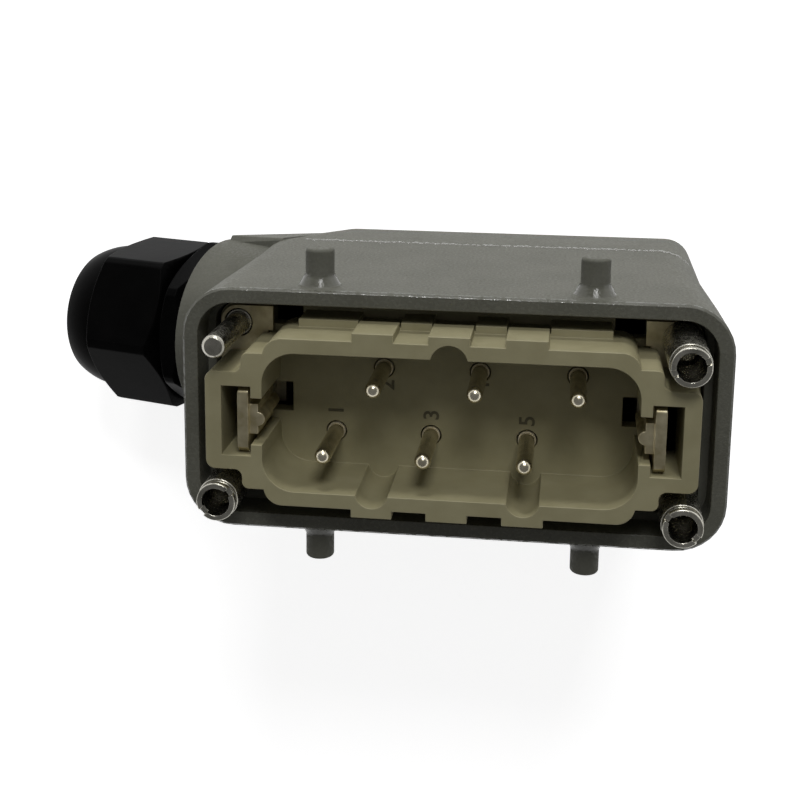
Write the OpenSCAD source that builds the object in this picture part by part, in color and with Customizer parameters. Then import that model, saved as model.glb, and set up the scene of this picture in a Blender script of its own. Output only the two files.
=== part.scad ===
// Heavy duty rectangular connector: an angled side-entry hood with four locking pegs,
// a six-pole male contact insert with protective earth, guide pin and guide bushes,
// and a cable gland. X runs along the long side, Y across it and Z out of the mouth.
// The origin is the centre of the mouth, in the plane of the rim.

/* [Fixings] */
// Distance between the insert's fixing axes along the long side
fix_dx = 77.5; // [74:0.5:84]
// Distance between the insert's fixing axes across
fix_dy = 27; // [26:0.5:30]
// Diameter of the fixing thread, left plain
fix_thread_d = 4; // [3:0.5:4.5]
// Depth of the fixing threads below the insert's seat
fix_thread_depth = 12; // [8:1:16]

/* [Hood] */
// From the fixing axis to the outer end of the mouth
mouth_end = 8; // [7.5:0.1:9]
// From the fixing axis to the outer side of the mouth
mouth_side = 8; // [7.5:0.1:9]
// Outer corner radius of the mouth
mouth_r = 8.5; // [8:0.25:10.5]
// Wall at the rim
rim_wall = 2.7; // [2.2:0.1:3]
// Rounding of the rim's outer edge
rim_edge = 0.4; // [0.2:0.1:0.8]
// Depth of the wide recess behind the rim
mouth_depth = 7; // [6:0.5:8]
// Whole depth of the hood, from rim to back
hood_d = 76; // [72:1:84]
// How much each end wall draws in from the mouth to the waist
waist_in = 1.65; // [1:0.1:2]
// Depth at which the end walls start to draw in
flare_z = 14; // [10:1:18]
// Depth of the waist
waist_z = 38; // [34:1:42]
// Depth of the ridge where the broad faces start to slope
ridge_z = 48; // [44:1:54]
// How much each broad face draws in from the ridge to the back
back_in = 1.8; // [1:0.1:3]
// Extra draw-in of the back at the cable end
back_nose_in = 2; // [1:0.25:3]
// Where that extra draw-in starts, from the centre
back_nose_x = 28; // [24:1:32]
// Rounding of the back's edges
back_r = 3; // [2:0.25:4]
// Wall of the hood's body
body_wall = 3; // [2.6:0.1:3.4]

/* [Locking pegs] */
// Diameter of the pegs
peg_d = 5; // [4:0.25:6]
// Distance between the two pegs on one side
peg_dx = 47; // [40:0.5:52]
// Depth of the peg axis behind the rim
peg_z = 5; // [4.6:0.1:6]
// How far the pegs stand out of the broad faces
peg_out = 6.6; // [5:0.2:8]
// Diameter of the flared foot of a peg
peg_foot_d = 7.4; // [6.8:0.2:9]
// Height of the flared foot
peg_foot_h = 2.2; // [1.5:0.1:2.6]

/* [Cable entry] */
// Tilt of the cable entry away from the mouth, in degrees
entry_tilt = 18; // [12:1:22]
// Distance of the entry face's centre beyond the fixing axis
entry_out = 14.75; // [13:0.25:18]
// Depth of the entry face's centre behind the rim
entry_z = 56; // [54:0.5:57]
// Diameter of the round entry boss
boss_d = 38.6; // [37:0.2:39.4]
// Diameter of the entry thread, left plain
entry_thread_d = 25; // [20:0.5:26]
// Length of the entry bore
entry_bore_l = 20; // [18:1:22]
// How far the cheeks of the cable end lie behind the entry face
cheek_back = 1; // [0.4:0.1:1.4]
// How far the cheeks stand proud of the boss
cheek_lip = 0.9; // [0.4:0.1:1.2]

/* [Insert] */
// From the fixing axis to the edge of the insert's flange
flange_edge = 3.5; // [3:0.1:4]
// Clearance between the flange and the hood
flange_gap = 0.3; // [0.2:0.05:0.5]
// Depth of the flange's front face, which carries the earth plates
flange_z = 9; // [8.5:0.1:10]
// Thickness of the flange
flange_t = 3.5; // [3:0.25:4.5]
// How far the collar stands out of the rim
collar_out = 6.6; // [5:0.2:8]
// From the fixing axis to the end of the collar
collar_end = 2.35; // [2:0.05:2.6]
// Height of the collar's end blocks across
collar_block_w = 17.2; // [16.4:0.2:18]
// Width of the collar across
collar_w = 29.3; // [28.6:0.1:29.6]
// Width over the ribs of the collar
rib_over_w = 32.1; // [31:0.1:32.8]
// Width of one rib
rib_w = 6.95; // [5:0.05:7.5]
// Distance between the ribs
rib_pitch = 12.7; // [11:0.1:13.4]
// Length over the ledges behind the ribs
ledge_l = 53.5; // [50:0.5:55.5]
// Depth of the ledge behind the rim
ledge_z = 2.1; // [1:0.1:3]
// Gap between a rib and the recess behind it
rib_cut = 0.2; // [0.1:0.05:0.4]
// Width of the cavity across
cavity_w = 24.14; // [23.6:0.02:24.6]
// Corner radius of the cavity
cavity_r = 5.5; // [4:0.25:6.5]
// Wall between the cavity and an earth slot
slot_wall = 1.97; // [1.6:0.01:2.2]
// Width of an earth slot along X
slot_t = 5; // [4.8:0.1:5.2]
// Height of an earth slot along Y
slot_h = 12.1; // [11.6:0.1:12.6]
// Outer wall between an earth slot and the collar's end
slot_end_wall = 2.8; // [2.6:0.05:3]
// Depth of the terminal block behind the flange
block_d = 20; // [18:0.5:24]

/* [Contacts] */
// Diameter of the contact pins
pin_d = 2.8; // [2:0.1:3.2]
// Distance between neighbouring pins of one row
pin_pitch = 17; // [15:0.5:17.6]
// Distance between the two rows
row_pitch = 12; // [11.4:0.1:12.4]
// How far the pins' ball centres stand out of the rim
pin_out = 4.7; // [3:0.1:5.5]
// Clearance hole round a pin in the floor of the cavity
pin_hole_d = 3.7; // [3.6:0.1:4.2]
// Diameter of a contact's terminal sleeve
sleeve_d = 7; // [6.6:0.1:7.4]
// Length of a terminal sleeve
sleeve_l = 16; // [14:0.5:17]
// Diameter of the wire bore in a sleeve
wire_d = 4.2; // [3:0.1:4.6]
// Diameter of a terminal screw
clamp_d = 3; // [2.5:0.25:3.5]
// Diameter of a terminal screw's head
clamp_head_d = 5.2; // [4.6:0.1:5.8]
// Running clearance round the contacts and screws
fit = 0.15; // [0.05:0.05:0.25]

/* [Earth] */
// Thickness of the earth plate
plate_t = 1; // [0.8:0.1:1.2]
// Thickness of the earth blade
blade_t = 1.9; // [1.2:0.1:2.1]
// Height of the earth blade
blade_h = 11.3; // [9:0.1:11.6]
// Height of the blade's tab, through the cavity's wall
tab_h = 5.3; // [4:0.1:6]
// Length of the earth terminal's leg below the flange
leg_l = 15; // [12:0.5:18]

/* [Guides] */
// How far the guide bushes and the guide pin stand out of the rim
guide_out = 9.7; // [7:0.1:11]
// Outer diameter of a guide bush
bush_d = 7; // [6.4:0.1:7.2]
// Bore of a guide bush
bush_bore_d = 4.75; // [4.2:0.05:5]
// Depth of the bore in a guide bush
bush_bore_l = 13; // [9:0.5:15]
// Diameter of the guide pin
guide_d = 4; // [3:0.5:4.2]

/* [Cable gland] */
// Width across the flats of the gland's two hexagons
gland_af = 32.5; // [30:0.5:33]
// Length of the gland's thread in the hood
gland_spigot_l = 11; // [9:1:14]
// Thickness of the sealing ring under the gland
ring_t = 1.2; // [1:0.1:1.6]
// Height of the body's hexagon
gland_hex_h = 4.8; // [4:0.2:6]
// Gap between the body's hexagon and the nut
nut_gap = 1.3; // [1.2:0.1:2]
// Length of the nut's hexagon
nut_hex_l = 17; // [15:0.5:20]
// Length of the nut's domed end
dome_l = 7.4; // [6:0.2:9]
// Outer diameter where the dome starts
dome_d = 31.4; // [29:0.2:32]
// Outer diameter of the dome's front edge
dome_tip_d = 27.6; // [24:0.2:28]
// Opening in the nut's front
nut_bore_d = 18.4; // [16:0.2:19]
// Bore of the sealing sleeve
seal_bore_d = 13; // [10:0.5:15]
// Outer diameter of the sealing sleeve
seal_d = 19.8; // [18:0.1:20]
// Clearance between the gland's moving parts
gland_play = 0.3; // [0.25:0.01:0.4]
// Number of clamping fingers
finger_n = 10; // [6:1:12]
// Width of the slots between the fingers
finger_slot = 1.6; // [1:0.1:2]

/* [Hidden] */
$fn = 64;
eps = 0.05;

// Half sizes of the hood
mouth_x = fix_dx/2 + mouth_end;
mouth_y = fix_dy/2 + mouth_side;
waist_x = mouth_x - waist_in;
flare_x = mouth_x - waist_in*0.28;
back_y = mouth_y - back_in;
nose_y = back_y - back_nose_in;
loft_fn = 32;
skin = 0.01;
// Half sizes of the insert
flange_x = fix_dx/2 + flange_edge;
flange_y = fix_dy/2 + flange_edge;
flange_r = 3;
seat_z = -flange_z - flange_t;
block_z = seat_z - block_d;
pocket_x = flange_x + flange_gap;
pocket_y = flange_y + flange_gap;
pocket_r = flange_r + flange_gap;
// Fixing points, in the order guide pin, then bushes clockwise from the mouth
fixings = [[-1, 1], [1, 1], [1, -1], [-1, -1]];
post_r = 5;
fix_bore_r = fix_thread_d/2 + 0.05;
// Cable entry
entry = [-(fix_dx/2 + entry_out), 0, -entry_z];
cheek_y = boss_d/2 + cheek_lip;
cheek_edge_r = 0.6;
cheek_back_r = 3.5;
cheek_reach = 16;
ridge_rise = (entry_z - ridge_z - cheek_reach*sin(entry_tilt))/cos(entry_tilt) - cheek_edge_r;
// Collar steps, measured from the fixing axes
collar_x = fix_dx/2 + collar_end;
step_in = 3.85;
shell_in = 7.55;
step_x = fix_dx/2 - step_in;
shell_x = fix_dx/2 - shell_in;
step_w = 23.9;
shell_r = 3.2;
step_r = 1.2;
block_r = 1.6;
cove_r = 1.3;
slot_out_x = collar_x - slot_end_wall;
slot_in_x = slot_out_x - slot_t;
cavity_x = slot_in_x - slot_wall;
cavity_y = cavity_w/2;
floor_z = -flange_z - 0.1;
gate_h = 8.1;
key_r = [3.1, 2.8];
key_in = 0.6;
rib_back_w = 30.2;
ledge_gap = 0.5;
notch_in = 6.2;
notch_x = [ledge_l/2 + ledge_gap, fix_dx/2 - notch_in];
notch_y = 13.3;
block_x = notch_x[0];
block_y = notch_y;
sleeve_z = -flange_z - 5;
pin_foot = 0.2;
pin_foot_z = floor_z + 0.1;
clamp_z = sleeve_z - sleeve_l + 5.5;
clamp_head_h = 2.2;
clamp_in = 0.6;
// Earth parts
plate_in = 5.4;
ear_in = 6.3;
plate_x = fix_dx/2 - plate_in;
ear_x = fix_dx/2 - ear_in;
ear_y = step_w/2 + 0.25;
plate_edge = flange_gap;
ear_hole_r = fix_thread_d/2 + 0.5;
slit_l = 2*(flange_x - plate_x);
blade_x = slot_in_x + 0.5;
blade_top = collar_out - 0.6;
leg_x = blade_x + plate_t;
leg_w = 8;
earth_z = seat_z - leg_l/2 + 0.5;
tab_t = 1.4;
tab_r = 1.2;
tab_z = -flange_z + 2*plate_t;
earth_nut = 6.5;
earth_nut_t = 1.9;
earth_head_r = 3.4;
earth_head_h = 2.4;
washer_r = 4;
washer_t = 1;
// Guides
guide_seat = -flange_z + plate_t;
guide_tail = seat_z - fix_thread_depth + 1;
bush_tip_l = 1.3;
bush_tip_r = bush_d/2 - 0.2;
bush_neck_r = bush_d/2 - 0.45;
bush_edge = 0.2;
// Where each bush's slot stopped when it was driven home
bush_turn = [23, -35, 38];
// Gland, along its own axis from the entry face
hex_z = ring_t;
neck_z = hex_z + gland_hex_h;
nut_z = neck_z + nut_gap;
dome_z = nut_z + nut_hex_l;
tip_z = dome_z + dome_l;
gland_corner_r = gland_af/2/cos(30);
edge_r = gland_corner_r - 0.55;
flat_r = gland_af/2 - 0.2;
body_bore_r = seal_d/2 - 0.9;
finger_in_r = seal_d/2 + gland_play;
finger_wall = 1.8;
finger_out_r = finger_in_r + finger_wall;
thread_r = finger_out_r + 0.8;
thread_l = 10;
thread_end = neck_z + thread_l;
finger_end = dome_z + 1.2;
seal_z = neck_z + 3.5;
nut_wall_z = tip_z - 2.6;
seal_end = nut_wall_z - gland_play;
hex_turn = 35;
nut_turn = -6;

// Plate with rounded corners, half sizes x and y
module rounded(x, y, r) {
    square([2*x, 2*(y - r)], center = true);
    square([2*(x - r), 2*y], center = true);
    for (sx = [-1, 1], sy = [-1, 1]) translate([sx*(x - r), sy*(y - r)]) circle(r);
}

// Thin slice of a loft, half sizes x and y, at height z
module slice(z, x, y, r) {
    translate([0, 0, z]) linear_extrude(skin) rounded(x, y, r, $fn = loft_fn);
}

// Thin round corner of a loft, mirrored across
module corner_pair(x, y, r, z) {
    for (s = [-1, 1]) translate([x, s*y, z]) cylinder(h = skin, r = r, $fn = loft_fn);
}

// Places children at a fixing
module at_fixing(k) {
    translate([fixings[k][0]*fix_dx/2, fixings[k][1]*fix_dy/2, 0]) children();
}

// Places children along the cable entry: Z out of it, X towards the mouth
module at_entry() {
    translate(entry) rotate([0, -90 - entry_tilt, 0]) children();
}

// Axis of contact k, numbered from 1
function pin_x(k) = (k - 3.5)*pin_pitch/2;
function pin_y(k) = (k % 2 == 0 ? 1 : -1)*row_pitch/2;

// Slices of the back's rounded edge, as [inset, height]
function back_edge(a) = [back_r*(1 - cos(a)), -hood_d + back_r*(1 - sin(a))];

module hood_skin() {
    // Mouth, with its rounded outer edge
    hull() {
        slice(-skin, mouth_x - rim_edge, mouth_y - rim_edge, mouth_r - rim_edge);
        slice(-rim_edge, mouth_x, mouth_y, mouth_r);
        slice(-flare_z, flare_x, mouth_y, mouth_r);
    }
    // End walls drawing in to the waist
    hull() {
        slice(-flare_z, flare_x, mouth_y, mouth_r);
        slice(-waist_z, waist_x, mouth_y, mouth_r);
    }
    // Body with a ridge, sloping faces and a rounded back
    hull() {
        slice(-waist_z, waist_x, mouth_y, mouth_r);
        slice(-ridge_z, waist_x, mouth_y, mouth_r);
        for (a = [0, 30, 60, 90]) {
            e = back_edge(a);
            c = mouth_r - back_r;
            for (x = [waist_x, -back_nose_x - c])
                corner_pair(sign(x)*(abs(x) - c - e[0]), back_y - c - e[0], c, e[1]);
            corner_pair(-waist_x + c + e[0], nose_y - c - e[0], c, e[1]);
        }
    }
    // Cheeks that carry the broad faces out to the entry face
    hull() at_entry() {
        translate([0, 0, -cheek_back]) {
            corner_pair(-cheek_lip - cheek_edge_r, cheek_y - cheek_edge_r, cheek_edge_r, 0);
            corner_pair(-cheek_edge_r, boss_d/2 - cheek_edge_r - 0.2, cheek_edge_r, 0);
            corner_pair(-boss_d/2 + cheek_back_r, boss_d/2 - back_in - cheek_back_r, cheek_back_r, 0);
        }
        translate([0, 0, -cheek_reach]) {
            corner_pair(ridge_rise, mouth_y - cheek_edge_r, cheek_edge_r, 0);
            corner_pair(-boss_d/2 - cheek_lip, back_y - cheek_back_r - cheek_edge_r, cheek_back_r, 0);
        }
    }
    // Round boss of the cable entry
    at_entry() translate([0, 0, -entry_bore_l + 2]) cylinder(h = entry_bore_l - 2, d = boss_d);
}

// Locking peg: flared foot, straight pin and rounded end, standing on Z = 0
module peg() {
    tip = 0.6;
    root = 1.5;
    rotate_extrude() {
        polygon([
            [0, -root], [peg_foot_d/2, -root], [peg_foot_d/2, 0],
            [peg_d/2, peg_foot_h], [peg_d/2, peg_out - tip], [0, peg_out - tip]
        ]);
        intersection() {
            translate([peg_d/2 - tip, peg_out - tip]) circle(tip);
            translate([0, peg_out - tip]) square([peg_d/2, tip]);
        }
        translate([0, peg_out - tip]) square([peg_d/2 - tip, tip]);
    }
}

module hood() color("dimgray") {
    difference() {
        union() {
            hood_skin();
            for (sx = [-1, 1], sy = [-1, 1])
                translate([sx*peg_dx/2, sy*mouth_y, -peg_z]) rotate([-sy*90, 0, 0]) peg();
        }
        // Wide recess behind the rim
        translate([0, 0, -mouth_depth]) linear_extrude(mouth_depth + 1)
            rounded(mouth_x - rim_wall, mouth_y - rim_wall, mouth_r - rim_wall);
        // Hollow of the body, around the fixing posts
        difference() {
            hull() {
                slice(-mouth_depth, pocket_x, pocket_y, pocket_r);
                slice(-ridge_z, waist_x - body_wall + 0.4, pocket_y, pocket_r);
                slice(-hood_d + body_wall, waist_x - body_wall - 2, back_y - body_wall, pocket_r);
            }
            for (k = [0:3]) at_fixing(k) post();
        }
        // Threads for the fixings
        for (k = [0:3]) at_fixing(k) translate([0, 0, seat_z - fix_thread_depth])
            cylinder(h = fix_thread_depth + 1, r = fix_bore_r);
        // Bore of the cable entry
        at_entry() translate([0, 0, -entry_bore_l]) cylinder(h = entry_bore_l + 1, d = entry_thread_d);
    }
}

// Fixing post in a corner of the hood, grown into both walls
module post() {
    l = fix_thread_depth + 3;
    translate([0, 0, seat_z - l]) cylinder(h = l, r = post_r);
}

// Block centred in X and Y, from height z0 to z1
module block(x, y, z0, z1) {
    translate([0, 0, z0]) linear_extrude(z1 - z0) square([x, y], center = true);
}

// Fillets of radius r in the four inner corners at half sizes x and y
module coves(x, y, r) {
    for (sx = [-1, 1], sy = [-1, 1]) difference() {
        translate([sx*(x + r/2 - eps), sy*(y + r/2 - eps)]) square(r + 2*eps, center = true);
        translate([sx*(x + r), sy*(y + r)]) circle(r);
    }
}

// Collar seen from the mouth: shell, steps and end blocks
module collar_plan() {
    rounded(shell_x, collar_w/2, shell_r);
    rounded(step_x, step_w/2, step_r);
    rounded(collar_x, collar_block_w/2, block_r);
    coves(step_x, collar_block_w/2, cove_r);
}

// Cavity of the collar with its three coding grooves
module cavity_plan() {
    rounded(cavity_x, cavity_y, cavity_r);
    translate([0, cavity_y - key_in]) circle(key_r[0]);
    for (s = [-1, 1]) translate([s*rib_pitch, key_in - cavity_y]) circle(key_r[1]);
}

module contact_insert() color("darkslategray") {
    difference() {
        union() {
            translate([0, 0, -flange_z - eps]) linear_extrude(flange_z + collar_out + eps) collar_plan();
            // Ledges with recesses behind the ribs
            block(ledge_l, rib_back_w, -flange_z - eps, -ledge_z);
            difference() {
                block(ledge_l, rib_over_w, -flange_z - eps, -ledge_z);
                for (i = [-1:1]) translate([i*rib_pitch, 0, 0])
                    block(rib_w + 2*rib_cut, rib_over_w + 1, -flange_z - 1, 0);
            }
            for (i = [-1:1]) translate([i*rib_pitch, 0, 0])
                block(rib_w, rib_over_w, -ledge_z - 2*rib_cut, collar_out);
            // Flange and terminal block
            translate([0, 0, seat_z]) linear_extrude(flange_t) rounded(flange_x, flange_y, flange_r);
            block(2*block_x, 2*block_y, block_z, seat_z + eps);
        }
        translate([0, 0, floor_z]) linear_extrude(collar_out - floor_z + 1) cavity_plan();
        for (k = [0:3]) at_fixing(k) translate([0, 0, seat_z - 1]) cylinder(h = flange_t + 2, r = ear_hole_r);
        for (sx = [-1, 1]) {
            // Earth slot, its gate to the cavity and the slit under the end block
            translate([sx*(slot_in_x + slot_t/2), 0, 0]) block(slot_t, slot_h, -flange_z, collar_out + 1);
            translate([sx*slot_in_x, 0, 0]) block(2*slot_wall + 1, gate_h, floor_z, collar_out + 1);
            translate([sx*(plate_x + slit_l/2 - fit), 0, 0])
                block(slit_l, 2*flange_y + 1, -flange_z, fit - flange_z + plate_t);
            // Slot for the earth leg and window in the floor
            translate([sx*(blade_x + plate_t/2), 0, 0])
                block(plate_t + 2*fit, leg_w + 2*fit, seat_z - 1, eps - flange_z);
            translate([sx*(cavity_x - 0.2), 0, 0]) block(2*slot_wall, tab_h, seat_z - 1, floor_z + 1);
            // Notches between the ledges and the corners of the flange
            for (sy = [-1, 1]) translate([sx*(notch_x[0] + notch_x[1])/2, sy*flange_y, 0])
                block(notch_x[1] - notch_x[0], 2*(flange_y - notch_y), seat_z, -flange_z);
        }
        // Contact chambers and the access to their screws
        for (k = [1:6]) translate([pin_x(k), pin_y(k), 0]) {
            translate([0, 0, block_z - 1]) cylinder(h = sleeve_z - block_z + 1, d = sleeve_d + 2*fit);
            translate([0, 0, sleeve_z - 1]) cylinder(h = floor_z - sleeve_z + 2, d = pin_hole_d);
            across(k) cylinder(h = block_y, d = clamp_head_d + 4*fit);
        }
    }
}

// Places children on the axis of terminal screw k, seen from the contact's axis
module across(k) {
    translate([0, 0, clamp_z]) rotate([-sign(pin_y(k))*90, 0, 0]) children();
}

// Pin with a ball end and a terminal sleeve
module contact_pin(k) color("goldenrod") translate([pin_x(k), pin_y(k), 0]) difference() {
    union() {
        rotate_extrude() {
            translate([0, sleeve_z - eps]) square([pin_d/2, pin_out - sleeve_z + eps]);
            translate([0, sleeve_z - eps]) square([pin_d/2 + pin_foot, pin_foot_z - sleeve_z + eps]);
            intersection() {
                translate([0, pin_out]) circle(d = pin_d);
                translate([0, pin_out]) square(pin_d/2);
            }
        }
        translate([0, 0, sleeve_z - sleeve_l]) cylinder(h = sleeve_l, d = sleeve_d);
    }
    translate([0, 0, sleeve_z - sleeve_l - 1]) cylinder(h = sleeve_l - 2, d = wire_d);
    across(k) cylinder(h = sleeve_d, d = clamp_d + 0.1);
}

module contact_pin_1() contact_pin(1);
module contact_pin_2() contact_pin(2);
module contact_pin_3() contact_pin(3);
module contact_pin_4() contact_pin(4);
module contact_pin_5() contact_pin(5);
module contact_pin_6() contact_pin(6);

// Slotted terminal screw, with its head just outside the sleeve
module terminal_screw(k) color("silver") translate([pin_x(k), pin_y(k), 0]) across(k) {
    head_z = sleeve_d/2 + clamp_in;
    translate([0, 0, wire_d/2 + 0.1]) cylinder(h = clamp_in + sleeve_d/2 - wire_d/2, d = clamp_d);
    translate([0, 0, head_z]) difference() {
        cylinder(h = clamp_head_h, d = clamp_head_d);
        block(clamp_head_d + 1, 1, clamp_head_h/2, clamp_head_h + 1);
    }
}

module terminal_screw_1() terminal_screw(1);
module terminal_screw_2() terminal_screw(2);
module terminal_screw_3() terminal_screw(3);
module terminal_screw_4() terminal_screw(4);
module terminal_screw_5() terminal_screw(5);
module terminal_screw_6() terminal_screw(6);

// Earth plate of the +X end: ears at both corners, blade up, terminal leg down
module earth_plate() difference() {
    nick = 1;
    union() {
        translate([0, 0, -flange_z]) linear_extrude(plate_t) intersection() {
            rounded(flange_x - plate_edge, flange_y - plate_edge, flange_r);
            union() {
                translate([plate_x, -flange_y]) square([flange_x, 2*flange_y]);
                for (sy = [-1, 1]) translate([ear_x + flange_x/2, sy*(ear_y + flange_y/2)])
                    square([flange_x, flange_y], center = true);
            }
        }
        translate([blade_x, 0, 0]) rotate([90, 0, 90]) linear_extrude(blade_t) polygon([
            [-blade_h/2, -flange_z], [blade_h/2, -flange_z],
            [blade_h/2, blade_top - nick], [blade_h/2 - nick, blade_top],
            [nick - blade_h/2, blade_top], [-blade_h/2, blade_top - nick]
        ]);
        // Tab that reaches through the gate, with a rolled edge
        translate([blade_x - tab_t/2, 0, 0]) block(tab_t + 2*eps, tab_h, tab_z, blade_top - nick);
        translate([blade_x - tab_t, 0, tab_z]) cylinder(h = blade_top - nick - tab_z, r = tab_r);
        // Leg with a square thread plate
        translate([blade_x + plate_t/2, 0, 0]) block(plate_t, leg_w, seat_z - leg_l, -flange_z + eps);
        translate([blade_x - earth_nut_t/2 + eps/2, 0, earth_z])
            block(earth_nut_t + eps, earth_nut, -earth_nut/2, earth_nut/2);
    }
    for (s = [-1, 1]) translate([fix_dx/2, s*fix_dy/2, -flange_z - 1])
        cylinder(h = plate_t + 2, r = ear_hole_r);
    translate([blade_x - 2*earth_nut_t, 0, earth_z]) rotate([0, 90, 0])
        cylinder(h = 4*earth_nut_t, r = fix_bore_r);
}

module earth_plate_left() color("khaki") rotate([0, 0, 180]) earth_plate();
module earth_plate_right() color("khaki") earth_plate();

// Slotted earth screw with its captive washer, at the +X end
module earth_screw() translate([leg_x, 0, earth_z]) rotate([0, 90, 0]) {
    start = -plate_t - earth_nut_t + 0.4;
    gap = 0.5;
    translate([0, 0, start]) cylinder(h = gap - start + eps, d = fix_thread_d);
    translate([0, 0, gap]) cylinder(h = washer_t, r = washer_r);
    translate([0, 0, gap + washer_t - eps]) difference() {
        cylinder(h = earth_head_h + eps, r = earth_head_r);
        block(1, 2*earth_head_r + 1, earth_head_h/2, earth_head_h + 1);
    }
}

module earth_screw_left() color("silver") rotate([0, 0, 180]) earth_screw();
module earth_screw_right() color("silver") earth_screw();

module guide_pin() color("silver") at_fixing(0) rotate_extrude() polygon([
    [0, guide_tail], [fix_thread_d/2 - 0.5, guide_tail],
    [fix_thread_d/2, guide_tail + 0.5], [fix_thread_d/2, seat_z],
    [ear_hole_r - fit, seat_z], [ear_hole_r - fit, guide_seat - fit], [guide_d/2, guide_seat - fit],
    [guide_d/2, guide_out - 0.6], [guide_d/2 - 0.6, guide_out], [0, guide_out]
]);

// Guide bush: bored sleeve with a groove and a screwdriver slot, on a threaded stem
module guide_bush(k) color("silver") at_fixing(k) difference() {
    rotate_extrude() polygon([
        [0, guide_tail], [fix_thread_d/2 - 0.5, guide_tail],
        [fix_thread_d/2, guide_tail + 0.5], [fix_thread_d/2, guide_seat],
        [bush_d/2, guide_seat], [bush_d/2, guide_out - bush_tip_l - 0.8],
        [bush_tip_r, guide_out - bush_tip_l - 0.6], [bush_neck_r, guide_out - bush_tip_l - 0.6],
        [bush_neck_r, guide_out - bush_tip_l], [bush_tip_r, guide_out - bush_tip_l],
        [bush_tip_r, guide_out - bush_edge], [bush_tip_r - bush_edge, guide_out],
        [bush_bore_d/2 + 0.1, guide_out], [bush_bore_d/2, guide_out - 0.1],
        [bush_bore_d/2, guide_out - bush_bore_l],
        [0, guide_out - bush_bore_l - bush_bore_d/4]
    ]);
    rotate([0, 0, bush_turn[k - 1]]) block(bush_d + 1, 1.2, guide_out - 0.9, guide_out + 1);
}

module guide_bush_1() guide_bush(1);
module guide_bush_2() guide_bush(2);
module guide_bush_3() guide_bush(3);

// Hexagon with its ends chamfered and its edges rounded off
module gland_hex(h) {
    bevel = (edge_r - flat_r)*tan(30);
    intersection() {
        cylinder(h = h, r = gland_corner_r, $fn = 6);
        rotate_extrude() polygon([
            [0, 0], [flat_r, 0], [edge_r, bevel], [edge_r, h - bevel], [flat_r, h], [0, h]
        ]);
    }
}

// Body of the gland: thread, hexagon, neck and clamping fingers
module gland_body() color("black") at_entry() difference() {
    union() {
        translate([0, 0, hex_z]) rotate([0, 0, hex_turn]) gland_hex(gland_hex_h);
        rotate_extrude() polygon([
            [0, -gland_spigot_l], [entry_thread_d/2 - 0.7, -gland_spigot_l],
            [entry_thread_d/2 - 0.1, 0.6 - gland_spigot_l], [entry_thread_d/2 - 0.1, hex_z + 1],
            [thread_r - gland_play, hex_z + 1], [thread_r - gland_play, thread_end],
            [finger_out_r, thread_end + 0.5], [finger_out_r, finger_end - 2.5],
            [finger_out_r - 0.8, finger_end], [0, finger_end]
        ]);
    }
    translate([0, 0, -gland_spigot_l - 1]) cylinder(h = gland_spigot_l + tip_z, r = body_bore_r);
    translate([0, 0, seal_z - gland_play]) cylinder(h = tip_z, r = finger_in_r);
    for (i = [0:finger_n - 1]) rotate([0, 0, i*360/finger_n]) translate([0, -finger_slot/2, thread_end + 1])
        cube([thread_r + 1, finger_slot, dome_l + tip_z]);
}

module gland_sealing_ring() color("dimgray") at_entry() difference() {
    cylinder(h = ring_t, r = entry_thread_d/2 + 3);
    translate([0, 0, -1]) cylinder(h = ring_t + 2, r = entry_thread_d/2 + 0.1);
}

module gland_seal() color("dimgray") at_entry() rotate_extrude() translate([seal_bore_d/2, seal_z])
    square([(seal_d - seal_bore_d)/2, seal_end - seal_z]);

// Nut of the gland: hexagon and dome over the fingers
module gland_nut() color("black") at_entry() {
    drop = (dome_d - dome_tip_d)/2;
    bow = (drop*drop + dome_l*dome_l)/(2*drop);
    difference() {
        union() {
            translate([0, 0, nut_z]) rotate([0, 0, nut_turn]) gland_hex(nut_hex_l);
            rotate_extrude() intersection() {
                translate([dome_d/2 - bow, dome_z]) circle(bow);
                translate([0, dome_z - 0.5]) square([dome_d/2, dome_l + 0.5]);
            }
        }
        rotate_extrude() polygon([
            [0, 0], [thread_r, 0], [thread_r, finger_end + 0.4],
            [seal_d/2 + 0.6, nut_wall_z], [nut_bore_d/2, nut_wall_z],
            [nut_bore_d/2, tip_z - 0.8], [nut_bore_d/2 + 0.8, tip_z + eps], [0, tip_z + eps]
        ]);
    }
}

hood();
contact_insert();
contact_pin_1();
contact_pin_2();
contact_pin_3();
contact_pin_4();
contact_pin_5();
contact_pin_6();
terminal_screw_1();
terminal_screw_2();
terminal_screw_3();
terminal_screw_4();
terminal_screw_5();
terminal_screw_6();
earth_plate_left();
earth_plate_right();
earth_screw_left();
earth_screw_right();
guide_pin();
guide_bush_1();
guide_bush_2();
guide_bush_3();
gland_body();
gland_sealing_ring();
gland_seal();
gland_nut();
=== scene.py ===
# %% [markdown]
# A heavy duty rectangular connector: a die-cast hood with a moulded contact insert and
# a cable gland. This lesson dresses the exact solids of the model: edges get their
# small radii, each surface gets the finish of the real one, and the numbers go on.

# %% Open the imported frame
import math
import random

import bmesh
import bpy
from mathutils import Matrix, Vector
from mathutils.bvhtree import BVHTree


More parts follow.
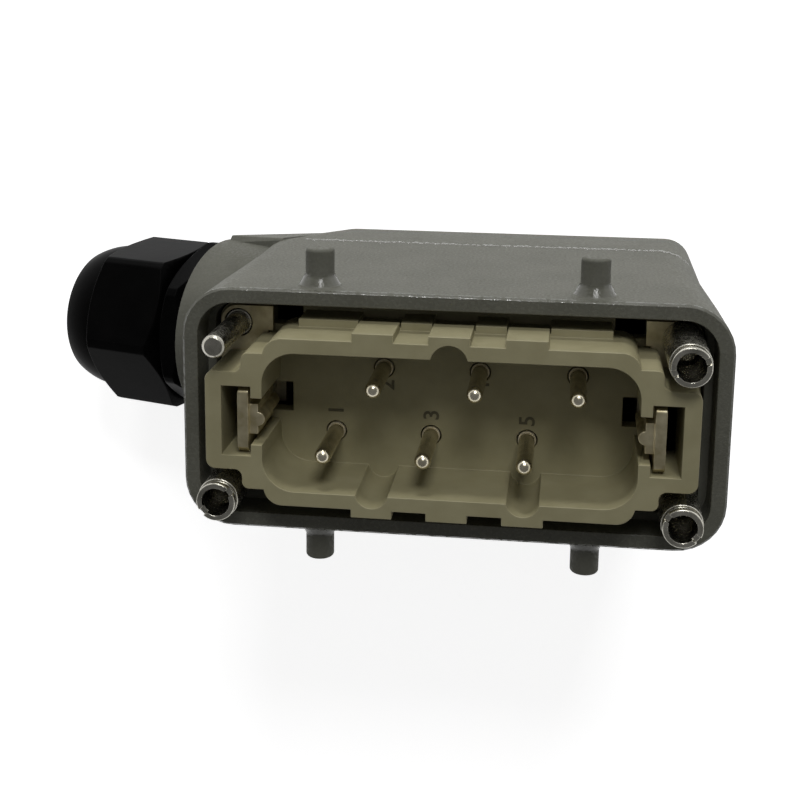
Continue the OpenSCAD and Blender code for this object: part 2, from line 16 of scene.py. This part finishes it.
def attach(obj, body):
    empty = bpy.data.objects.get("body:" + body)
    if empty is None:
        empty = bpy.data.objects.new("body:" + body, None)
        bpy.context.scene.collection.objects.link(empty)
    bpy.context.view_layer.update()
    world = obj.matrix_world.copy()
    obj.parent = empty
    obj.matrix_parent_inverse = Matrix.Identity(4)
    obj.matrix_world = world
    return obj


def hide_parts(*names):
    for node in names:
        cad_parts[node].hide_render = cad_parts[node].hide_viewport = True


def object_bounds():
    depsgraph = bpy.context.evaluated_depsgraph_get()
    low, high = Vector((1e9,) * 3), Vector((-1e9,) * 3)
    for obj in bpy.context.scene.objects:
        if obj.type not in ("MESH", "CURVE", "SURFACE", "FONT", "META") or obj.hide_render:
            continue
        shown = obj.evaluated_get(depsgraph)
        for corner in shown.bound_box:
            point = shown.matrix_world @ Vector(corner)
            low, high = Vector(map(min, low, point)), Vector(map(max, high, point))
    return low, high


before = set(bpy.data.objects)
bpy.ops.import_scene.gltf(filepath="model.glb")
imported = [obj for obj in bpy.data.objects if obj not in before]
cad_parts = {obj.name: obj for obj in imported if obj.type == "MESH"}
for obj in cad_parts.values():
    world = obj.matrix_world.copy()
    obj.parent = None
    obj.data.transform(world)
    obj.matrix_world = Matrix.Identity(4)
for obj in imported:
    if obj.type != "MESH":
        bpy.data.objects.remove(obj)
cad_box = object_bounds()
MM = 0.001
CONNECTOR, NUT = "connector", "clamp_nut"

# %% [markdown]
# The camera looks down into the mouth from above and a little to the right. A long
# lens, 61 mm on a 36 mm frame, keeps the long sides of the hood nearly parallel. The
# frame is shifted down, so the lens's own axis meets the picture above its middle.

# %% Camera
scene = bpy.context.scene
lens = bpy.data.cameras.new("camera")
lens.sensor_width = 36.0
lens.lens = 60.708
lens.shift_y = -0.1625
lens.clip_start = 0.01
camera = bpy.data.objects.new("camera", lens)
camera.location = (18.092 * MM, 70.538 * MM, 219.219 * MM)
camera.rotation_euler = [math.radians(a) for a in (-11.4113, 7.1826, 0.6508)]
scene.collection.objects.link(camera)
scene.camera = camera
print("camera at", tuple(round(c, 3) for c in camera.location))

# %% [markdown]
# Colours are easiest to pick as the hex values that a paint chart or a colour picker
# gives. Blender's sockets want linear light, so one function turns the one into the
# other. A second small function adds a node, fills in its settings and links it up.


# %% Colour and node helpers
def linear(code):
    """A hex colour, such as 7C7C72, as linear RGBA."""
    parts = [int(code[i : i + 2], 16) / 255 for i in (0, 2, 4)]
    return [c / 12.92 if c <= 0.04045 else ((c + 0.055) / 1.055) ** 2.4 for c in parts] + [1.0]


def add(tree, kind, settings=None, links=None):
    """Adds a node; settings fill sockets or properties, links join sockets to outputs."""
    node = tree.nodes.new(kind)
    for name, value in (settings or {}).items():
        if name in node.inputs:
            node.inputs[name].default_value = value
        else:
            setattr(node, name, value)
    for name, source in (links or {}).items():
        tree.links.new(source, node.inputs[name])
    return node


# %% [markdown]
# Every finish of the connector starts the same way: a shader with its plain values set,
# and cloudy patterns on the object's own coordinates, for its colour and mostly for its
# bump too. They are scaled from a real size in millimetres, so a grain stays a grain.


# %% A finish
RAMP_ENDS = (0.35, 0.65)


def noise(tree, spot, size_mm, detail=2.0, rough=0.5):
    """Cloudy pattern whose blobs are about size_mm across."""
    settings = {"Scale": 1 / (size_mm * MM), "Detail": detail, "Roughness": rough}
    return add(tree, "ShaderNodeTexNoise", settings, {"Vector": spot}).outputs["Fac"]


def finish(name, **sockets):
    """A new material with its shader's plain values set; returns material, tree, shader, coordinates."""
    material = bpy.data.materials.new(name)
    material.use_nodes = True
    tree = material.node_tree
    shader = tree.nodes["Principled BSDF"]
    for socket, value in sockets.items():
        shader.inputs[socket.replace("_", " ")].default_value = value
    spot = tree.nodes.new("ShaderNodeTexCoord").outputs["Object"]
    return material, tree, shader, spot


def colour(tree, shader, factor, dark, light):
    """Colours the shader between two hex colours, over the middle of a pattern's range."""
    ramp = add(tree, "ShaderNodeValToRGB", {}, {"Fac": factor})
    for element, position, code in zip(ramp.color_ramp.elements, RAMP_ENDS, (dark, light)):
        element.position = position
        element.color = linear(code)
    tree.links.new(ramp.outputs["Color"], shader.inputs["Base Color"])


def bump(tree, shader, height, depth_mm):
    """Bump of depth_mm from a 0 to 1 pattern."""
    node = add(tree, "ShaderNodeBump", {"Strength": 1.0, "Distance": depth_mm * MM}, {"Height": height})
    tree.links.new(node.outputs["Normal"], shader.inputs["Normal"])


def fade(tree, value, start, end, low=0.0, high=1.0):
    """Turns start to end into low to high, and stays level beyond them."""
    settings = {"From Min": start, "From Max": end, "To Min": low, "To Max": high}
    return add(tree, "ShaderNodeMapRange", settings, {"Value": value}).outputs["Result"]


def maths(tree, operation, *values):
    """One step of arithmetic on one or two values."""
    return add(tree, "ShaderNodeMath", {"operation": operation}, dict(enumerate(values))).outputs[0]


def axes(tree, spot):
    """The three coordinates of a spot, by the names X, Y and Z."""
    return add(tree, "ShaderNodeSeparateXYZ", {}, {"Vector": spot}).outputs


# %% [markdown]
# The hood is an aluminium die casting with a grey powder coat. Powder melts into a
# skin that stays slightly pebbled, with grains about half a millimetre across. The
# grains make its gloss change from spot to spot, so a face looks satin and finely
# speckled. On the rim and at the feet of the locking pegs the coat gathers: there it is
# glossy, in flecks on the rim and all over at the feet.

# %% Powder-coated die casting
RIM_FADE_MM = (-0.8, -0.4)
FEET_FROM_MM = (21.6, 21.9)
FEET_TO_MM = (23.9, 23.5)
GATHERED_ROUGHNESS = 0.12

POWDER, tree, shader, spot = finish("powder_coated_die_cast", IOR=1.5, Specular_IOR_Level=0.35)
colour(tree, shader, noise(tree, spot, 9.0, 3.0), "5A5A51", "616158")
grain = noise(tree, spot, 0.5, 2.0, 0.6)
sheen = fade(tree, grain, 0.35, 0.65, 0.55, 0.8)
place = axes(tree, spot)
rim = fade(tree, place["Z"], *(edge * MM for edge in RIM_FADE_MM))
flecks = maths(tree, "MULTIPLY", rim, fade(tree, noise(tree, spot, 0.8, 1.0), 0.4, 0.48))
outward = maths(tree, "ABSOLUTE", place["Y"])
above = fade(tree, outward, *(edge * MM for edge in FEET_FROM_MM))
below = fade(tree, outward, *(edge * MM for edge in FEET_TO_MM))
gathered = maths(tree, "MAXIMUM", flecks, maths(tree, "MULTIPLY", above, below))
gloss = add(tree, "ShaderNodeMapRange", {"To Max": GATHERED_ROUGHNESS}, {"Value": gathered, "To Min": sheen})
tree.links.new(gloss.outputs["Result"], shader.inputs["Roughness"])
bump(tree, shader, grain, 0.07)

# %% [markdown]
# Where the same coat draws together into pimples it is thicker and flows out smooth, so
# it gets a clear layer over the colour and is glossier there.

# %% Gathered powder coat
POOLED, tree, shader, spot = finish("gathered_powder_coat", Roughness=0.18, IOR=1.5,
                                    Coat_Weight=1.0, Coat_Roughness=0.15)
colour(tree, shader, noise(tree, spot, 9.0, 3.0), "5E5E55", "65655C")

# %% [markdown]
# The insert is a glass-filled moulding in pebble grey. Glass fibres near the skin give
# it a faintly cloudy, matt face, and the mould leaves soft flow marks a few
# millimetres long.

# %% Glass-filled moulding
MOULDING, tree, shader, spot = finish("glass_filled_moulding", Roughness=0.48, IOR=1.5,
                                      Specular_IOR_Level=0.35)
colour(tree, shader, noise(tree, spot, 5.0, 4.0), "928C6D", "9A9475")
bump(tree, shader, noise(tree, spot, 0.35, 3.0), 0.012)

# %% [markdown]
# The contacts are copper alloy with a silver plating: a warm, pale metal. Turning
# leaves rings a few hundredths of a millimetre apart; here they are drawn at 0.2 mm,
# because finer ones wouldn't show. The foot of a pin, at the floor of the cavity, is
# duller, so that its step doesn't catch the lamp too brightly.

# %% Silver-plated contacts
FOOT_FADE_MM = (-8.6, -8.95)
RING_MM = 0.2

SILVER, tree, shader, spot = finish("silver_plated_copper_alloy", Metallic=1.0)
colour(tree, shader, noise(tree, spot, 2.5, 3.0), "CFC7AE", "E6DFCB")
foot = fade(tree, axes(tree, spot)["Z"], *(edge * MM for edge in FOOT_FADE_MM))
tree.links.new(fade(tree, foot, 0.0, 1.0, 0.25, 0.7), shader.inputs["Roughness"])
settings = {"Scale": 0.05 / (RING_MM * MM), "Distortion": 0.6, "wave_type": "BANDS", "bands_direction": "Z"}
rings = add(tree, "ShaderNodeTexWave", settings, {"Vector": spot})
bump(tree, shader, rings.outputs["Fac"], 0.004)

# %% [markdown]
# The guide pin and bushes are turned steel with bright nickel. Nickel is a shade
# yellower than chrome. Mating scuffs it, so its gloss changes from spot to spot.

# %% Nickel-plated turned steel
NICKEL, tree, shader, spot = finish("nickel_plated_steel", Metallic=1.0)
colour(tree, shader, noise(tree, spot, 3.0, 3.0), "98968C", "C4C1B6")
scuff = noise(tree, spot, 0.8, 3.0)
tree.links.new(fade(tree, scuff, 0.0, 1.0, 0.12, 0.42), shader.inputs["Roughness"])
bump(tree, shader, scuff, 0.008)

# %% [markdown]
# The earth plates are pressed steel with a zinc plating that has a faint yellow cast,
# from its passivation. Pressing leaves long, soft scratches.

# %% Zinc-plated pressed steel
ZINC, tree, shader, spot = finish("zinc_plated_pressed_steel", Metallic=1.0, Roughness=0.45)
colour(tree, shader, noise(tree, spot, 3.0, 3.0), "B5AA88", "DAD1B2")
long_way = add(tree, "ShaderNodeMapping", {"Scale": (1.0, 0.12, 1.0)}, {"Vector": spot})
bump(tree, shader, noise(tree, long_way.outputs["Vector"], 0.4, 3.0), 0.01)

# %% [markdown]
# The gland is black polyamide. It is nearly black, and its surface reflects little, so
# only faint highlights show its shape, and they are a little uneven.

# %% Black polyamide
POLYAMIDE, tree, shader, spot = finish("black_polyamide", Roughness=0.36, IOR=1.53,
                                       Specular_IOR_Level=0.015)
colour(tree, shader, noise(tree, spot, 6.0, 3.0), "050505", "080808")
bump(tree, shader, noise(tree, spot, 1.6, 3.0), 0.015)

# %% [markdown]
# The sealing sleeve and the ring are black rubber, matt, with a fine skin.

# %% Rubber
RUBBER, tree, shader, spot = finish("nitrile_rubber", Roughness=0.7, IOR=1.52)
colour(tree, shader, noise(tree, spot, 4.0, 3.0), "161616", "1E1E1E")
bump(tree, shader, noise(tree, spot, 0.5, 3.0), 0.01)


# %% [markdown]
# The solids have perfectly sharp edges, and nothing real has. A merged copy of a solid,
# with its flat faces joined again, takes Blender's bevel along every edge that turns
# more than a given angle. The copy then stands for the node.


# %% Round the edges of a copy
WELD = 2e-6
FLAT_DEG, SHARP_DEG, SMOOTH_DEG = 0.5, 50.0, 40


def rounded_copy(node, width_mm):
    """A bmesh of the node, merged, with its sharp edges rounded by width_mm."""
    bm = bmesh.new()
    bm.from_mesh(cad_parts[node].data)
    bmesh.ops.remove_doubles(bm, verts=bm.verts, dist=WELD)
    bmesh.ops.dissolve_limit(bm, angle_limit=math.radians(FLAT_DEG), verts=bm.verts, edges=bm.edges)
    turn = math.radians(SHARP_DEG)
    sharp = [e for e in bm.edges if len(e.link_faces) == 2 and e.calc_face_angle(0) > turn]
    bmesh.ops.bevel(bm, geom=sharp, offset=width_mm * MM, offset_type="OFFSET", affect="EDGES",
                    segments=2, profile=0.5, material=-1, clamp_overlap=False)
    return bm


def piece(bm, name, material, body, nodes=()):
    """The finished object: smooth where it curves, riding on its body."""
    mesh = bpy.data.meshes.new(name)
    bm.to_mesh(mesh)
    bm.free()
    mesh.shade_smooth()
    mesh.set_sharp_from_angle(angle=math.radians(SMOOTH_DEG))
    mesh.materials.append(material)
    ob = bpy.data.objects.new(name, mesh)
    scene.collection.objects.link(ob)
    even = ob.modifiers.new("even shading", "WEIGHTED_NORMAL")
    even.keep_sharp = True
    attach(ob, body)
    if nodes:
        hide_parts(*nodes)
    print(name, len(mesh.polygons), "faces")


# %% [markdown]
# The big pieces: the hood's edges are rounded by casting and coating, the insert's and
# the gland's by their moulds, the earth plates' by tumbling.

# %% Dress the main pieces
for node, width, material, body, slot in (
    ("hood", 0.2, POWDER, CONNECTOR, "hood_paint"),
    ("contact_insert", 0.15, MOULDING, CONNECTOR, "insert_plastic"),
    ("earth_plate_left", 0.12, ZINC, CONNECTOR, "earth_metal"),
    ("earth_plate_right", 0.12, ZINC, CONNECTOR, "earth_metal"),
    ("guide_pin", 0.1, NICKEL, CONNECTOR, "guide_metal"),
    ("guide_bush_1", 0.08, NICKEL, CONNECTOR, "guide_metal"),
    ("guide_bush_2", 0.08, NICKEL, CONNECTOR, "guide_metal"),
    ("guide_bush_3", 0.08, NICKEL, CONNECTOR, "guide_metal"),
    ("gland_body", 0.15, POLYAMIDE, CONNECTOR, "gland_plastic"),
    ("gland_nut", 0.15, POLYAMIDE, NUT, "gland_plastic"),
):
    piece(rounded_copy(node, width), node + "_dressed", material, body, (node,))

# %% [markdown]
# Along the ridge on both sides, molten powder draws together into low pimples, half a
# millimetre to a little over one wide. They catch the lamp one by one, so the ridge
# sparkles while the faces stay satin. A ray finds the hood's surface under each pimple,
# and a small ball is sunk there until only its cap stands out.

# %% Pimples along the ridge
RIDGE_Z_MM, RIDGE_SPREAD_MM = -47.9, 0.4
FIRST_X_MM, PITCH_MM, PIMPLES = -34.0, 0.6, 128
BALL_MM = (0.35, 0.7)
SUNK = 0.62
OUTSIDE = 0.04

dice = random.Random(4)
hood_tree = BVHTree.FromObject(bpy.data.objects["hood_dressed"], bpy.context.evaluated_depsgraph_get())
bm = bmesh.new()
for side in (1, -1):
    for step in range(PIMPLES):
        x = (step * PITCH_MM + FIRST_X_MM + dice.uniform(-PITCH_MM / 2, PITCH_MM / 2)) * MM
        z = (RIDGE_Z_MM + dice.uniform(-RIDGE_SPREAD_MM, RIDGE_SPREAD_MM)) * MM
        place, normal, _, _ = hood_tree.ray_cast(Vector((x, side * OUTSIDE, z)), Vector((0, -side, 0)))
        ball = dice.uniform(*BALL_MM) * MM
        cap = Matrix.Translation(place - normal * ball * SUNK)
        bmesh.ops.create_icosphere(bm, subdivisions=2, radius=ball, matrix=cap)
piece(bm, "coat_pimples", POOLED, CONNECTOR)

# %% [markdown]
# Each contact has its number beside it on the floor of the cavity, raised by about a
# tenth of a millimetre. The figures are coloured darker than the floor: that is painted
# shade, standing in for the shade along their edges. The figures lie across the
# connector, so they read from its side. Text is made into a mesh, then laid down.

# %% Contact numbers
SHADED_FIGURES, tree, shader, spot = finish("figures_with_painted_shade", Roughness=0.55, IOR=1.5, Specular_IOR_Level=0.3)
# Painted shade: the figures are coloured darker than the floor they stand on.
colour(tree, shader, noise(tree, spot, 2.0, 3.0), "55513D", "5D5944")
FLOOR_MM, LIFT_MM = -9.1, 0.05
FIGURE_MM, HALF_THICKNESS_MM, BOLDER_MM = 3.9, 0.06, 0.05
for figure, x_mm, y_mm in (("1", -21.2, -2.2), ("3", -4.1, -2.25), ("5", 12.8, -2.5),
                           ("2", -12.15, 2.9), ("4", 4.65, 3.4), ("6", 21.6, 3.4)):
    text = bpy.data.curves.new("figure", "FONT")
    text.body = figure
    text.size = FIGURE_MM * MM
    text.extrude = HALF_THICKNESS_MM * MM
    text.offset = BOLDER_MM * MM
    text.align_x = "CENTER"
    text.align_y = "CENTER"
    text.resolution_u = 8
    holder = bpy.data.objects.new("figure", text)
    scene.collection.objects.link(holder)
    flat = bpy.data.meshes.new_from_object(holder.evaluated_get(bpy.context.evaluated_depsgraph_get()))
    bpy.data.objects.remove(holder)
    bm = bmesh.new()
    bm.from_mesh(flat)
    bmesh.ops.remove_doubles(bm, verts=bm.verts, dist=1e-6)
    across = Matrix.Rotation(math.radians(90), 3, "Z")
    bmesh.ops.rotate(bm, verts=bm.verts, cent=(0, 0, 0), matrix=across)
    bmesh.ops.translate(bm, verts=bm.verts, vec=(x_mm * MM, y_mm * MM, (FLOOR_MM + LIFT_MM) * MM))
    piece(bm, "number_" + figure, SHADED_FIGURES, CONNECTOR)

# %% [markdown]
# The other solids have the right shape already and only take their finish.

# %% Finish the other solids
for name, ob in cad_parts.items():
    if name.startswith("contact_pin"):
        ob.data.materials[0] = SILVER
    elif "screw" in name:
        ob.data.materials[0] = ZINC
    elif name in ("gland_seal", "gland_sealing_ring"):
        ob.data.materials[0] = RUBBER

# %% [markdown]
# The stage is a pale floor that curves up into its own backdrop all round, as in a
# small photo studio, and stays open at the top. It shows white to the camera and in
# reflections, yet it still takes the lamps' light, so the object's shadow stays on it.
# Its sizes are in metres.

# %% Floor with a curved backdrop
FLOOR_GAP_MM = 0.5
FLAT_R, COVE_R, WALL_TOP = 1.4, 0.6, 0.9
GLOW = 0.8

FLOOR_Z = cad_box[0][2] - FLOOR_GAP_MM * MM
bm = bmesh.new()
bend = [math.radians(10 * i) for i in range(10)]
cove = [(math.sin(a) * COVE_R + FLAT_R, (1 - math.cos(a)) * COVE_R) for a in bend]
outline = [(0.0, 0.0), *cove, (FLAT_R + COVE_R, WALL_TOP)]
profile = [bm.verts.new((x, 0, z + FLOOR_Z)) for x, z in outline]
edges = [bm.edges.new(pair) for pair in zip(profile, profile[1:])]
bmesh.ops.spin(bm, geom=profile + edges, cent=(0, 0, 0), axis=(0, 0, 1), angle=math.tau,
               steps=72, use_merge=True)
bmesh.ops.remove_doubles(bm, verts=bm.verts, dist=1e-6)
bmesh.ops.recalc_face_normals(bm, faces=bm.faces)
floor_mesh = bpy.data.meshes.new("floor")
bm.to_mesh(floor_mesh)
bm.free()
floor_mesh.shade_smooth()
floor = bpy.data.objects.new("floor", floor_mesh)
scene.collection.objects.link(floor)

PALE, tree, shader, _ = finish("pale_floor", Roughness=0.9, Specular_IOR_Level=0.0)
shader.inputs["Base Color"].default_value = linear("F2F2F2")
shader.inputs["Emission Color"].default_value = linear("FFFFFF")
path = add(tree, "ShaderNodeLightPath")
seen = maths(tree, "MAXIMUM", path.outputs["Is Camera Ray"], path.outputs["Is Glossy Ray"])
seen = maths(tree, "MAXIMUM", seen, path.outputs["Is Transmission Ray"])
glow = add(tree, "ShaderNodeMath", {"operation": "MULTIPLY"}, {0: seen})
glow.inputs[1].default_value = GLOW
tree.links.new(glow.outputs[0], shader.inputs["Emission Strength"])
floor_mesh.materials.append(PALE)


# %% [markdown]
# The key lamp stands low beyond the long upper side, as a window would, so the broad
# face is bright and the mouth lies in half shade. A larger lamp on the same side, higher
# up, softens that shade.

# %% Lamps and world
def lamp(name, at, aim, size, power):
    """A soft rectangular lamp, in metres and watts."""
    light = bpy.data.lights.new(name, "AREA")
    light.shape = "RECTANGLE"
    light.size, light.size_y = size
    light.energy = power
    ob = bpy.data.objects.new(name, light)
    ob.location = at
    ob.rotation_euler = (Vector(aim) - Vector(at)).to_track_quat("-Z", "Y").to_euler()
    scene.collection.objects.link(ob)


middle = (-0.01, 0, -0.03)
lamp("key_lamp", (-0.07, 0.9, 0.09), middle, (0.12, 0.1), 2.4)
lamp("fill_lamp", (0.12, 0.72, 0.6), middle, (0.3, 0.3), 3.7)

world = bpy.data.worlds.new("world")
scene.world = world
world.use_nodes = True
background = world.node_tree.nodes["Background"]
background.inputs["Color"].default_value = linear("FFFFFF")
background.inputs["Strength"].default_value = 0.15

scene.view_settings.view_transform = "Standard"
